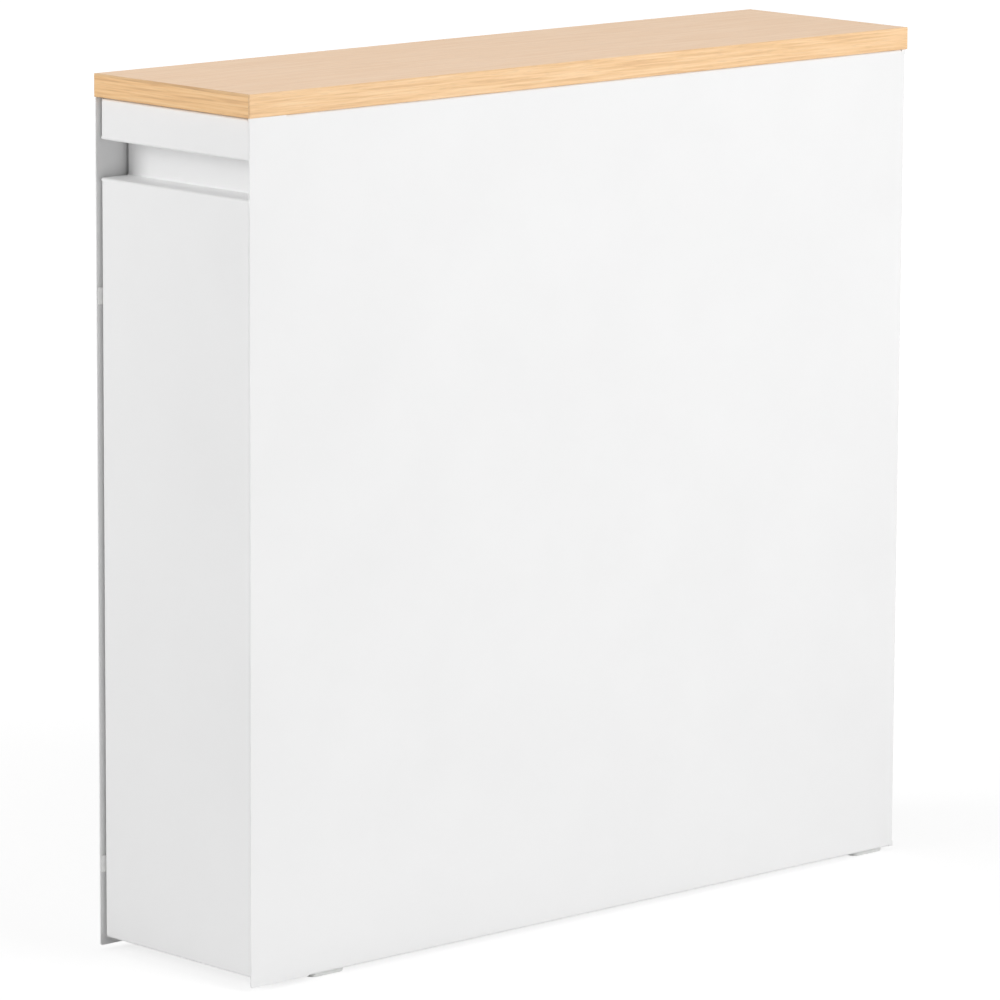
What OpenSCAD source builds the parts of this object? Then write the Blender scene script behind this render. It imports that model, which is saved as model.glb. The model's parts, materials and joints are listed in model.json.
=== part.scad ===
// Slim pull-out cabinet for toilet rolls: sheet steel casing, veneered wooden top,
// and a full-height pull-out that runs on two flat ball-bearing slides.
// Millimetres. Z is up, the front is at -Y, and the origin is on the floor under the middle.

/* [Casing] */
// Width over the two side panels
cab_w = 130; // [126:1:150]
// Depth of a side panel, front edge to back
cab_d = 508; // [490:1:560]
// Height of a side panel
panel_h = 479.5; // [470:0.5:540]
// Thickness of the sheet steel
sheet_t = 1; // [0.8:0.1:1.2]
// Inside radius of each bend in the sheet
bend_r = 0.6; // [0.4:0.1:1]
// Radius of a side panel's lower front corner
corner_r = 1.5; // [1:0.5:8]
// Width of the side panels' bottom flanges
bottom_flange_w = 22; // [21:1:24]
// Bare length of a side panel's bottom edge, in front of its flange
bottom_flange_set = 42; // [40:1:44]
// Width of the side panels' top and back flanges
flange_w = 16; // [14:1:20]
// Bare length of a side panel's top edge, in front of its flange
top_flange_set = 26; // [25:0.5:27]
// Clearance of the plates that drop in between the side panels, past the panels' bends
fit_gap = 0.2; // [0.1:0.1:0.3]

/* [Base and crossbars] */
// Distance from the casing's front edge to the base plate
base_set = 45; // [42:1:46]
// Height of the base plate's side lips
base_lip = 9; // [5:1:11]
// Depth of a crossbar, front to back
crossbar_w = 30; // [22:1:40]
// Height of a crossbar
crossbar_h = 9; // [6:1:10]
// Distance from the casing's front edge to the front crossbar
crossbar_set = 28; // [27:1:40]
// Distance from the back panel to the rear crossbar
crossbar_back = 12; // [4:1:30]

/* [Wooden top] */
// Thickness of the board
top_t = 13; // [12:0.5:18]
// Overhang of the board at each side
top_over_side = 0.5; // [0:0.1:3]
// Overhang of the board at the front
top_over_front = 0.5; // [0:0.1:3]
// Overhang of the board at the back, past the heads of the screws
top_over_back = 1.5; // [1.5:0.1:4]
// Radius of the board's edges and corners
top_edge_r = 0.8; // [0.4:0.1:2]

/* [Feet] */
// Drop of the feet below the side panels
foot_drop = 2.5; // [1.8:0.1:4]
// Width of a foot
foot_w = 19; // [15:1:20]
// Length of a foot, front to back
foot_l = 25; // [22:1:30]
// Radius of a foot's corners
foot_corner_r = 4; // [1:0.5:7]
// Distance from a side panel's outer face to a foot's centre
foot_inset = 12; // [10.5:0.5:12.5]
// Distance from the casing's front edge to the front feet's centres
foot_front = 59; // [57:1:90]
// Distance from the casing's back to the rear feet's centres
foot_rear = 18; // [15:1:40]
// Diameter of a foot's stem
foot_stem_dia = 4.8; // [4:0.1:5]

/* [Guide strips] */
// Thickness of a guide strip
strip_t = 1.2; // [0.8:0.1:1.4]
// Height of a guide strip
strip_h = 9.5; // [6:0.5:14]
// Distance from the casing's front edge to the strips' front ends
strip_set = 0.5; // [0.3:0.1:3]
// Distance from a side panel's lower edge to the middle of the lower strip
strip_low = 47; // [40:0.5:48]
// Distance from a side panel's upper edge to the middle of the upper strip
strip_high = 110.5; // [100:0.5:130]

/* [Pull-out front] */
// Setback of the front behind the side panels' front edges
front_set = 2; // [0.5:0.5:4]
// Gap between the front and each side panel
side_gap = 1.7; // [1.5:0.1:2.5]
// Gap between the front and the wooden top
front_top_gap = 0.6; // [0.5:0.1:3]
// Height of the front's lower edge above the side panels' lower edges
front_bottom_gap = 5; // [3:0.5:10]
// Depth of the front, and so of its grip recess
front_depth = 20; // [16:0.5:21]
// Height of the rail above the grip recess
rail_h = 23; // [15:0.5:30]
// Height of the grip recess between the rail and the lower front
recess_h = 21; // [18:0.5:30]
// Width of the lips folded in behind the rail and the lower front
return_w = 11; // [10:0.5:16]

/* [Pull-out frame] */
// Height of the lower tray's sides
tray_lip = 39; // [36:1:60]
// Height of the middle shelf's sides
shelf_lip = 20; // [14:1:40]
// Clear height between the lower tray and the middle shelf
lower_bay_h = 226; // [200:1:240]
// Height of a side bar
bar_h = 16; // [12:1:24]
// Height of the lower side bars' middles above the lower tray
bar_low = 134; // [80:1:180]
// Width of the tabs at a side bar's ends
bar_tab = 12; // [11:0.5:16]
// Height of the rear plate above the middles of the upper side bars
rear_above_bar = 20; // [14:1:40]
// Width of the lip along the rear plate's upper edge
rear_lip = 10; // [6:1:20]
// Gap between the rear plate and the casing's back panel
rear_gap = 4; // [3:0.5:8]
// Diameter of a rear bumper
bumper_dia = 10; // [8:1:16]
// Clearance between a rear bumper and the back panel
bumper_play = 0.3; // [0.1:0.1:0.5]

/* [Slides] */
// Length of each slide member
slide_len = 400; // [360:5:420]
// Distance from the casing's front edge to the slides
slide_set = 50; // [46:1:60]
// Width of a slide
slide_w = 35; // [34:0.5:36]
// Height of a slide
slide_h = 12.7; // [12.4:0.1:14]
// Distance between the middles of the two slides
slide_pitch = 60; // [44:1:64]
// Thickness of the slide members
slide_t = 1.2; // [1:0.1:1.3]
// Radius of a bearing ball
ball_r = 1.75; // [1.6:0.05:1.8]
// Play of a ball in its races
ball_play = 0.03; // [0.02:0.01:0.05]
// Depth of a ball race
race_depth = 0.25; // [0.1:0.05:0.3]
// Balls in each row
balls_per_row = 8; // [4:1:10]
// Distance between the balls in a row
ball_pitch = 14; // [8:1:16]
// Thickness of a ball retainer
retainer_t = 0.6; // [0.4:0.1:0.7]
// Clearance between a ball retainer and the slide members
retainer_gap = 0.2; // [0.1:0.05:0.25]
// Length of a ball retainer past its last balls
retainer_end = 11; // [6:1:14]

/* [Fasteners] */
// Diameter of the machine screws
screw_dia = 4; // [3:0.5:5]
// Diameter of the screw heads and rivet heads
head_dia = 7; // [6:0.5:8]
// Height of the screw heads and rivet heads
head_h = 1.4; // [1:0.1:1.4]
// Length of a machine screw past the sheets that it joins
screw_past = 1.2; // [0.5:0.1:2]
// Depth of the top board's screws in the wood
wood_screw_depth = 10; // [6:1:10]
// Clearance round a screw, rivet or stem in its hole
hole_play = 0.05; // [0.02:0.01:0.1]
// Inset of the screws from a side panel's outer face
screw_inset = 9; // [8:0.5:10]

/* [Hidden] */
$fn = 48;

// Small overlap of a cutter past the face that it opens
cut = 1;

// Casing planes
x_out = cab_w / 2;
x_in = x_out - sheet_t;
top_d = cab_d + top_over_front + top_over_back;
y_front = top_over_front - top_d / 2;
y_back = y_front + cab_d;
z_low = foot_drop;
z_high = z_low + panel_h;
bend_out = bend_r + sheet_t;
plate_x = x_in - bend_r - fit_gap;
base_z = z_low + sheet_t;
back_plate_y = y_back - 2 * sheet_t;
screw_x = x_out - screw_inset;
crossbar_z = z_high - 2 * sheet_t;
crossbar_front_y = y_front + crossbar_set;
crossbar_rear_y = back_plate_y - crossbar_back - crossbar_w;
strip_z = [z_low + strip_low, z_high - strip_high];

// Slide levels, counted up from the base plate, and ball rows, counted out from a slide's middle
slide_z = base_z + sheet_t;
slide_y = y_front + slide_set;
retainer_low_v = slide_t + retainer_gap;
middle_v = retainer_low_v + retainer_t + retainer_gap;
retainer_high_v = middle_v + slide_t + retainer_gap;
inner_v = retainer_high_v + retainer_t + retainer_gap;
outer_flange_v = slide_h - 1.7;
middle_flange_v = slide_h - 1.9;
retainer_leg_v = slide_h - 2.9;
ball_v = (inner_v + retainer_leg_v) / 2;
race_r = ball_r + ball_play;
ball_step = 2 * (race_r - race_depth) + slide_t;
outer_ball_u = slide_w / 2 - slide_t + race_depth - race_r;
middle_face_u = outer_ball_u - race_r + race_depth;
inner_ball_u = outer_ball_u - ball_step;
inner_face_u = middle_face_u - ball_step;
retainer_len = (balls_per_row - 1) * ball_pitch + 2 * retainer_end;
retainer_y = slide_y + (slide_len - retainer_len) / 2;
rivet_y = [slide_y + 60, slide_y + slide_len - 60];

// Pull-out planes
front_x = x_in - side_gap;
front_y = y_front + front_set;
front_low = z_low + front_bottom_gap;
front_high = z_high - front_top_gap;
rail_low = front_high - rail_h;
ledge_z = rail_low - recess_h;
backing_y = front_y + front_depth;
frame_y = backing_y + sheet_t;
rear_y = back_plate_y - rear_gap - sheet_t;
tray_z = slide_z + slide_h;
shelf_z = tray_z + sheet_t + lower_bay_h;
bar_z = [tray_z + sheet_t + bar_low, strip_z[1]];
rear_high = bar_z[1] + rear_above_bar;
frame_screw_x = front_x - bar_tab / 2;
tray_screw_z = tray_z + tray_lip * 0.6;
shelf_screw_z = shelf_z + shelf_lip * 0.6;
frame_screw_z = [tray_screw_z, bar_z[0], shelf_screw_z, bar_z[1]];
bumper_z = [tray_screw_z + 40, bar_z[1] - 40];

// Screw places on the casing
back_screw_z = [z_low + 60, (z_low + z_high) / 2, z_high - 60];
base_screw_y = [y_front + foot_front + 60, y_back - foot_rear - 60];
top_screw_y = [
  crossbar_front_y + crossbar_w / 2,
  (crossbar_front_y + crossbar_rear_y + crossbar_w) / 2,
  crossbar_rear_y + crossbar_w / 2
];
foot_y = [y_front + foot_front, y_back - foot_rear];
foot_x = x_out - foot_inset;

white = "#f4f5f6";
zinc = "#b9bdc1";
nylon = "#e6e6e2";

// ---- Placing profiles ----

// A profile drawn in Y and Z, carried along X
module along_x(from, to) {
  translate([from, 0, 0]) rotate([90, 0, 90]) linear_extrude(to - from) children();
}

// A profile drawn in X and Z, carried along Y
module along_y(from, to) {
  translate([0, to, 0]) rotate([90, 0, 0]) linear_extrude(to - from) children();
}

// A profile drawn in X and Y, carried along Z
module along_z(from, to) {
  translate([0, 0, from]) linear_extrude(to - from) children();
}

module plate(x, y, z) {
  translate([x[0], y[0], z[0]]) cube([x[1] - x[0], y[1] - y[0], z[1] - z[0]]);
}

module both_sides() {
  children();
  mirror([1, 0, 0]) children();
}

// ---- Bent sheet ----

function unit(v) = v / norm(v);

// One flat stretch of a folded sheet, centred on the line from a to b
module flat_stretch(a, b) {
  half = sheet_t / 2 * [abs(unit(b - a).y), abs(unit(b - a).x)];
  low = [min(a.x, b.x), min(a.y, b.y)] - half;
  high = [max(a.x, b.x), max(a.y, b.y)] + half;
  translate(low) square(high - low);
}

// The quarter bend at corner, between the directions in and out
module quarter_bend(corner, in, out) {
  mid_r = bend_r + sheet_t / 2;
  centre = corner - mid_r * in + mid_r * out;
  reach = 2 * bend_out;
  far = centre + reach * (in - out);
  intersection() {
    translate(centre) difference() {
      circle(bend_out);
      circle(bend_r);
    }
    translate([min(centre.x, far.x), min(centre.y, far.y)]) square(reach);
  }
}

// Section of a sheet folded at right angles along a centre line of points
module folded(points) {
  mid_r = bend_r + sheet_t / 2;
  last = len(points) - 2;
  for (i = [0:last]) {
    step = unit(points[i + 1] - points[i]);
    a = points[i] + (i > 0 ? mid_r : 0) * step;
    b = points[i + 1] - (i < last ? mid_r : 0) * step;
    // Two bends may follow each other with no flat between them
    if (norm(b - a) > 0.01) flat_stretch(a, b);
  }
  for (i = [1:1:last]) {
    quarter_bend(points[i], unit(points[i] - points[i - 1]), unit(points[i + 1] - points[i]));
  }
}

// ---- Holes and fasteners ----

module hole_z(x, y, z, dia) {
  translate([x, y, z - cut]) cylinder(d = dia + 2 * hole_play, h = 2 * (cut + sheet_t));
}

module hole_y(x, y, z, dia) {
  translate([x, y - cut, z]) rotate([-90, 0, 0]) cylinder(d = dia + 2 * hole_play, h = 2 * (cut + sheet_t));
}

// Pan-head screw or rivet: its head sits below z = 0 and its shank runs up to z = grip
module screw(grip, dia = screw_dia) {
  edge = head_h * 0.3;
  translate([0, 0, -head_h + edge]) cylinder(d = head_dia, h = head_h - edge);
  translate([0, 0, -head_h]) cylinder(d1 = head_dia - 2 * edge, d2 = head_dia, h = edge);
  cylinder(d = dia, h = grip);
}

// ---- Casing ----

// The flat of a side panel, in Y and Z, with the tabs that fill its rear corners between the bends
module side_outline() {
  tab = 2 * bend_out;
  difference() {
    union() {
      translate([y_front, z_low + bend_out]) square([cab_d - bend_out, panel_h - 2 * bend_out]);
      translate([y_front, z_low]) square([bottom_flange_set, tab]);
      translate([y_front, z_high - tab]) square([top_flange_set, tab]);
      for (z = [z_low, z_high - tab]) translate([y_back - tab, z]) square(tab);
    }
    translate([y_front - cut, z_low - cut]) difference() {
      square(corner_r + cut);
      translate([corner_r + cut, corner_r + cut]) circle(corner_r);
    }
  }
}

module side_panel() {
  sheet_x = x_out - sheet_t / 2;
  flange_end = y_back - 2 * bend_out;
  difference() {
    union() {
      along_x(x_in, x_out) side_outline();
      along_y(y_front + bottom_flange_set, flange_end) folded([
        [x_out - bottom_flange_w, z_low + sheet_t / 2],
        [sheet_x, z_low + sheet_t / 2],
        [sheet_x, z_low + 2 * bend_out]
      ]);
      along_y(y_front + top_flange_set, flange_end) folded([
        [x_out - flange_w, z_high - sheet_t / 2],
        [sheet_x, z_high - sheet_t / 2],
        [sheet_x, z_high - 2 * bend_out]
      ]);
      along_z(z_low + 2 * bend_out, z_high - 2 * bend_out) folded([
        [x_out - flange_w, y_back - sheet_t / 2],
        [sheet_x, y_back - sheet_t / 2],
        [sheet_x, y_back - 2 * bend_out]
      ]);
    }
    for (y = foot_y) hole_z(foot_x, y, z_low, foot_stem_dia);
    for (y = base_screw_y) hole_z(foot_x, y, z_low, screw_dia);
    for (y = top_screw_y) hole_z(screw_x, y, z_high - sheet_t, screw_dia);
    for (z = back_screw_z) hole_y(screw_x, y_back - sheet_t, z, screw_dia);
  }
}

module side_panel_right() {
  color(white) side_panel();
}

module side_panel_left() {
  color(white) mirror([1, 0, 0]) side_panel();
}

module back_panel() {
  color(white) difference() {
    plate([-plate_x, plate_x], [back_plate_y, back_plate_y + sheet_t], [slide_z + fit_gap, crossbar_z]);
    both_sides() for (z = back_screw_z) hole_y(screw_x, back_plate_y, z, screw_dia);
  }
}

module base_plate() {
  lip_x = plate_x - sheet_t / 2;
  mid_z = base_z + sheet_t / 2;
  color(white) difference() {
    along_y(y_front + base_set, back_plate_y - fit_gap) folded([
      [-lip_x, mid_z + base_lip], [-lip_x, mid_z], [lip_x, mid_z], [lip_x, mid_z + base_lip]
    ]);
    both_sides() {
      for (y = foot_y) hole_z(foot_x, y, base_z, foot_stem_dia);
      for (y = base_screw_y) hole_z(foot_x, y, base_z, screw_dia);
      for (y = rivet_y) hole_z(slide_pitch / 2, y, base_z, screw_dia);
    }
  }
}

// A crossbar whose front face is at y = at
module crossbar(at) {
  lip_y = [at + sheet_t / 2, at + crossbar_w - sheet_t / 2];
  mid_z = crossbar_z + sheet_t / 2;
  low = crossbar_z + sheet_t - crossbar_h;
  color(white) difference() {
    along_x(-plate_x, plate_x) folded([
      [lip_y[0], low], [lip_y[0], mid_z], [lip_y[1], mid_z], [lip_y[1], low]
    ]);
    both_sides() hole_z(screw_x, at + crossbar_w / 2, crossbar_z, screw_dia);
  }
}

module crossbar_front() {
  crossbar(crossbar_front_y);
}

module crossbar_rear() {
  crossbar(crossbar_rear_y);
}

// Rectangle with its corners rounded, centred on x and starting at y = 0
module soft_rectangle(w, h, r) {
  translate([-w / 2 + r, 0]) square([w - 2 * r, h]);
  translate([-w / 2, r]) square([w, h - 2 * r]);
  for (x = [-w / 2 + r, w / 2 - r], y = [r, h - r]) translate([x, y]) circle(r);
}

module wooden_top() {
  top_w = cab_w + 2 * top_over_side;
  color("#e8c391") difference() {
    intersection() {
      translate([0, 0, z_high]) along_y(-top_d / 2, top_d / 2) soft_rectangle(top_w, top_t, top_edge_r);
      translate([0, 0, z_high]) along_x(-top_w / 2, top_w / 2) soft_rectangle(top_d, top_t, top_edge_r);
      translate([0, -top_d / 2, 0]) along_z(z_high, z_high + top_t) soft_rectangle(top_w, top_d, top_edge_r);
    }
    both_sides() for (y = top_screw_y) {
      translate([screw_x, y, z_high - cut]) {
        cylinder(d = screw_dia - 0.5 + 2 * hole_play, h = wood_screw_depth + cut + 0.5);
      }
    }
  }
}

module guide_strip(z) {
  color(nylon) plate(
    [x_in - strip_t, x_in], [y_front + strip_set, back_plate_y - fit_gap], [z - strip_h / 2, z + strip_h / 2]
  );
}

module guide_strip_right_upper() {
  guide_strip(strip_z[1]);
}

module guide_strip_right_lower() {
  guide_strip(strip_z[0]);
}

module guide_strip_left_upper() {
  mirror([1, 0, 0]) guide_strip(strip_z[1]);
}

module guide_strip_left_lower() {
  mirror([1, 0, 0]) guide_strip(strip_z[0]);
}

// Rubber pad with a stem pushed up through the flange and the base plate
module foot(y) {
  barb = 0.9;
  color("#c9cac8") translate([foot_x, y, 0]) {
    translate([0, -foot_l / 2, 0]) along_z(0, foot_drop) soft_rectangle(foot_w, foot_l, foot_corner_r);
    cylinder(d = foot_stem_dia, h = slide_z + hole_play);
    translate([0, 0, slide_z + hole_play]) {
      cylinder(d1 = foot_stem_dia + 2 * barb, d2 = foot_stem_dia - barb, h = 2 * barb);
    }
  }
}

module foot_front_right() {
  foot(foot_y[0]);
}

module foot_rear_right() {
  foot(foot_y[1]);
}

module foot_front_left() {
  mirror([1, 0, 0]) foot(foot_y[0]);
}

module foot_rear_left() {
  mirror([1, 0, 0]) foot(foot_y[1]);
}

// Wood screws up into the top board. The middle pair holds the flanges alone.
module top_screws() {
  color(zinc) both_sides() for (i = [0:2]) {
    seat = z_high - (i == 1 ? 1 : 2) * sheet_t;
    translate([screw_x, top_screw_y[i], seat]) screw(z_high + wood_screw_depth - seat, screw_dia - 0.5);
  }
}

module back_screws() {
  color(zinc) both_sides() for (z = back_screw_z) {
    translate([screw_x, y_back, z]) rotate([90, 0, 0]) screw(2 * sheet_t + screw_past);
  }
}

module base_screws() {
  color(zinc) both_sides() for (y = base_screw_y) {
    translate([foot_x, y, z_low]) screw(2 * sheet_t + screw_past);
  }
}

module slide_base_rivets() {
  color(zinc) both_sides() for (y = rivet_y) {
    translate([slide_pitch / 2, y, base_z]) screw(sheet_t + slide_t);
  }
}

// ---- Slides, each drawn in U across and V up, on the base plate ----

module at_slide() {
  translate([slide_pitch / 2, 0, slide_z]) children();
}

module race(u) {
  for (side = [-1, 1]) translate([side * u, ball_v]) circle(race_r);
}

// Channel standing on its web: outside half width, level of the web, level of the flanges' free edges
module channel(half_w, web_v, free_v) {
  low = min(web_v, free_v);
  high = max(web_v, free_v);
  translate([-half_w, web_v > free_v ? web_v - slide_t : web_v]) square([2 * half_w, slide_t]);
  for (u = [-half_w, half_w - slide_t]) translate([u, low]) square([slide_t, high - low]);
}

module slide_outer() {
  color(zinc) at_slide() difference() {
    along_y(slide_y, slide_y + slide_len) difference() {
      channel(slide_w / 2, 0, outer_flange_v);
      race(outer_ball_u);
    }
    for (y = rivet_y) hole_z(0, y, 0, screw_dia);
  }
}

module slide_middle() {
  color(zinc) at_slide() along_y(slide_y, slide_y + slide_len) difference() {
    channel(middle_face_u, middle_v, middle_flange_v);
    race(outer_ball_u);
    race(inner_ball_u);
  }
}

module slide_inner() {
  color(zinc) at_slide() difference() {
    along_y(slide_y, slide_y + slide_len) difference() {
      channel(inner_face_u, slide_h, inner_v);
      race(inner_ball_u);
    }
    for (y = rivet_y) hole_z(0, y, slide_h - slide_t, screw_dia);
  }
}

function ball_y(i) = retainer_y + retainer_end + i * ball_pitch;

// U-shaped strip that keeps two rows of balls apart: half width at the balls, level of its web
module ball_retainer(ball_u, web_v) {
  half = retainer_t / 2;
  color("#8f9499") at_slide() difference() {
    along_y(retainer_y, retainer_y + retainer_len) {
      translate([-ball_u - half, web_v]) square([2 * (ball_u + half), retainer_t]);
      for (u = [-ball_u, ball_u]) translate([u - half, web_v]) square([retainer_t, retainer_leg_v - web_v]);
    }
    for (i = [0:balls_per_row - 1]) {
      translate([-ball_u - 2 * half, ball_y(i), ball_v]) rotate([0, 90, 0]) {
        cylinder(r = race_r + hole_play, h = 2 * ball_u + 4 * half);
      }
    }
  }
}

module bearing_balls(ball_u) {
  color("#d5d8da") at_slide() for (u = [-ball_u, ball_u], i = [0:balls_per_row - 1]) {
    translate([u, ball_y(i), ball_v]) sphere(ball_r);
  }
}

module slide_outer_right() {
  slide_outer();
}

module slide_outer_left() {
  mirror([1, 0, 0]) slide_outer();
}

module slide_middle_right() {
  slide_middle();
}

module slide_middle_left() {
  mirror([1, 0, 0]) slide_middle();
}

module slide_inner_right() {
  slide_inner();
}

module slide_inner_left() {
  mirror([1, 0, 0]) slide_inner();
}

module ball_retainer_outer_right() {
  ball_retainer(outer_ball_u, retainer_low_v);
}

module ball_retainer_outer_left() {
  mirror([1, 0, 0]) ball_retainer(outer_ball_u, retainer_low_v);
}

module ball_retainer_inner_right() {
  ball_retainer(inner_ball_u, retainer_high_v);
}

module ball_retainer_inner_left() {
  mirror([1, 0, 0]) ball_retainer(inner_ball_u, retainer_high_v);
}

module bearing_balls_outer_right() {
  bearing_balls(outer_ball_u);
}

module bearing_balls_outer_left() {
  mirror([1, 0, 0]) bearing_balls(outer_ball_u);
}

module bearing_balls_inner_right() {
  bearing_balls(inner_ball_u);
}

module bearing_balls_inner_left() {
  mirror([1, 0, 0]) bearing_balls(inner_ball_u);
}

// ---- Pull-out ----

// Section of the grip recess in Y and Z, between a point below it and points above it: ledge, wall, rail's underside
module recess_section(below, above) {
  half = sheet_t / 2;
  face_y = front_y + half;
  wall_y = front_y + front_depth - half;
  recess = [
    [face_y, ledge_z - half], [wall_y, ledge_z - half], [wall_y, rail_low + half], [face_y, rail_low + half]
  ];
  folded(concat(below, recess, above));
}

// Side flange of the rail or the lower front with the lip folded in behind it, in X and Y, on the right
module front_side_section() {
  half = sheet_t / 2;
  folded([
    [front_x - 2 * bend_out, front_y + half],
    [front_x - half, front_y + half],
    [front_x - half, front_y + front_depth - half],
    [front_x - return_w, front_y + front_depth - half]
  ]);
}

module front_panel() {
  half = sheet_t / 2;
  face_y = front_y + half;
  back_y = front_y + front_depth;
  stub = half + 2 * bend_out;
  bottom = [[back_y, front_low + half], [face_y, front_low + half]];
  top = [[face_y, front_high - half], [back_y, front_high - half]];
  color(white) difference() {
    union() {
      along_x(bend_out - front_x, front_x - bend_out) recess_section(bottom, top);
      along_x(-front_x, front_x) recess_section([[face_y, ledge_z - stub]], [[face_y, rail_low + stub]]);
      both_sides() along_z(front_low + bend_out, ledge_z - bend_out) front_side_section();
      both_sides() along_z(rail_low + bend_out, front_high - bend_out) front_side_section();
    }
    both_sides() for (z = frame_screw_z) hole_y(frame_screw_x, backing_y - sheet_t, z, screw_dia);
  }
}

module front_backing_plate() {
  color(white) difference() {
    plate([-front_x, front_x], [backing_y, frame_y], [front_low, front_high]);
    both_sides() for (z = frame_screw_z) hole_y(frame_screw_x, backing_y, z, screw_dia);
  }
}

// Shallow tray between the backing plate and the rear plate: level of its underside, height of its lips
module tray(z, lip) {
  half = sheet_t / 2;
  screw_z = z + lip * 0.6;
  difference() {
    union() {
      along_y(frame_y + bend_out, rear_y - bend_out) folded([
        [half - front_x, z + lip], [half - front_x, z + half], [front_x - half, z + half], [front_x - half, z + lip]
      ]);
      along_x(bend_out - front_x, front_x - bend_out) folded([
        [frame_y + half, z + lip], [frame_y + half, z + half], [rear_y - half, z + half], [rear_y - half, z + lip]
      ]);
    }
    both_sides() for (y = [frame_y, rear_y - sheet_t]) hole_y(frame_screw_x, y, screw_z, screw_dia);
  }
}

module lower_tray() {
  color(white) difference() {
    tray(tray_z, tray_lip);
    both_sides() for (y = rivet_y) hole_z(slide_pitch / 2, y, tray_z, screw_dia);
  }
}

module middle_shelf() {
  color(white) tray(shelf_z, shelf_lip);
}

module rear_plate() {
  half = sheet_t / 2;
  color(white) difference() {
    along_x(-front_x, front_x) folded([
      [rear_y + half, tray_z], [rear_y + half, rear_high - half], [rear_y + sheet_t - rear_lip, rear_high - half]
    ]);
    both_sides() for (z = frame_screw_z) hole_y(frame_screw_x, rear_y, z, screw_dia);
    for (z = bumper_z) hole_y(0, rear_y, z, foot_stem_dia);
  }
}

module side_bar(z) {
  half = sheet_t / 2;
  color(white) difference() {
    along_z(z - bar_h / 2, z + bar_h / 2) folded([
      [front_x - bar_tab, frame_y + half], [front_x - half, frame_y + half],
      [front_x - half, rear_y - half], [front_x - bar_tab, rear_y - half]
    ]);
    for (y = [frame_y, rear_y - sheet_t]) hole_y(frame_screw_x, y, z, screw_dia);
  }
}

module side_bar_right_upper() {
  side_bar(bar_z[1]);
}

module side_bar_right_lower() {
  side_bar(bar_z[0]);
}

module side_bar_left_upper() {
  mirror([1, 0, 0]) side_bar(bar_z[1]);
}

module side_bar_left_lower() {
  mirror([1, 0, 0]) side_bar(bar_z[0]);
}

module slide_tray_rivets() {
  color(zinc) both_sides() for (y = rivet_y) {
    translate([slide_pitch / 2, y, tray_z + sheet_t]) mirror([0, 0, 1]) screw(sheet_t + slide_t);
  }
}

// Screws through the tabs and lips, the backing plate and the front's folded-in lips
module frame_screws_front() {
  color(zinc) both_sides() for (z = frame_screw_z) {
    translate([frame_screw_x, frame_y + sheet_t, z]) rotate([90, 0, 0]) screw(3 * sheet_t + screw_past);
  }
}

module frame_screws_rear() {
  color(zinc) both_sides() for (z = frame_screw_z) {
    translate([frame_screw_x, rear_y - sheet_t, z]) rotate([-90, 0, 0]) screw(2 * sheet_t + screw_past);
  }
}

// Rubber stop behind the rear plate, on a stem through it
module rear_bumper(z) {
  stem = 2 * sheet_t;
  color("#8d8f8e") translate([0, rear_y + sheet_t, z]) rotate([-90, 0, 0]) {
    cylinder(d = bumper_dia, h = rear_gap - bumper_play);
    translate([0, 0, -stem]) cylinder(d = foot_stem_dia, h = stem);
  }
}

module rear_bumper_upper() {
  rear_bumper(bumper_z[1]);
}

module rear_bumper_lower() {
  rear_bumper(bumper_z[0]);
}

side_panel_left();
side_panel_right();
back_panel();
base_plate();
crossbar_front();
crossbar_rear();
wooden_top();
guide_strip_left_upper();
guide_strip_left_lower();
guide_strip_right_upper();
guide_strip_right_lower();
foot_front_left();
foot_front_right();
foot_rear_left();
foot_rear_right();
slide_outer_left();
slide_outer_right();
top_screws();
back_screws();
base_screws();
slide_base_rivets();
slide_middle_left();
slide_middle_right();
ball_retainer_outer_left();
ball_retainer_outer_right();
bearing_balls_outer_left();
bearing_balls_outer_right();
ball_retainer_inner_left();
ball_retainer_inner_right();
bearing_balls_inner_left();
bearing_balls_inner_right();
front_panel();
front_backing_plate();
lower_tray();
middle_shelf();
rear_plate();
side_bar_left_upper();
side_bar_left_lower();
side_bar_right_upper();
side_bar_right_lower();
slide_inner_left();
slide_inner_right();
slide_tray_rivets();
frame_screws_front();
frame_screws_rear();
rear_bumper_upper();
rear_bumper_lower();
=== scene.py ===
"""Dresses the slim pull-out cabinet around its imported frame.

Camera and stage are in metres, patterns and pieces in millimetres. The pieces' colours are sRGB hex.
"""
import json
import math

import bmesh
import bpy
from mathutils import Matrix, Quaternion, Vector


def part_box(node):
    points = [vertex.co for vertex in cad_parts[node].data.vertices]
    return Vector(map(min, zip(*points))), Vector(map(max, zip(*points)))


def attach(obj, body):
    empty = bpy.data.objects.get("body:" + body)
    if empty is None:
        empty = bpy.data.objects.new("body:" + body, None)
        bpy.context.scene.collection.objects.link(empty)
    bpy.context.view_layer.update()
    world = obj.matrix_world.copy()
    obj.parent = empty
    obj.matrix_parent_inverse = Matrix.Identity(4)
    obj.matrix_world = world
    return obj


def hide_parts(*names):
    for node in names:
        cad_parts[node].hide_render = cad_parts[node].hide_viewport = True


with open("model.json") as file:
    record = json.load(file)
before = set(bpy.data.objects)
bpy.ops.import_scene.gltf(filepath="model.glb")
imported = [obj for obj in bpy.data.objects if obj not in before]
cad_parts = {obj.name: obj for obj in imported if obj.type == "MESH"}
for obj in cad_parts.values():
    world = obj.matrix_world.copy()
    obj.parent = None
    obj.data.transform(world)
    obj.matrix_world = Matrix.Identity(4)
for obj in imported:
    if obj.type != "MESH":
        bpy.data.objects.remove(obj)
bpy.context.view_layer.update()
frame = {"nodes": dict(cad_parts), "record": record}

MM = 0.001

# ---------------------------------------------------------------- Camera

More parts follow.
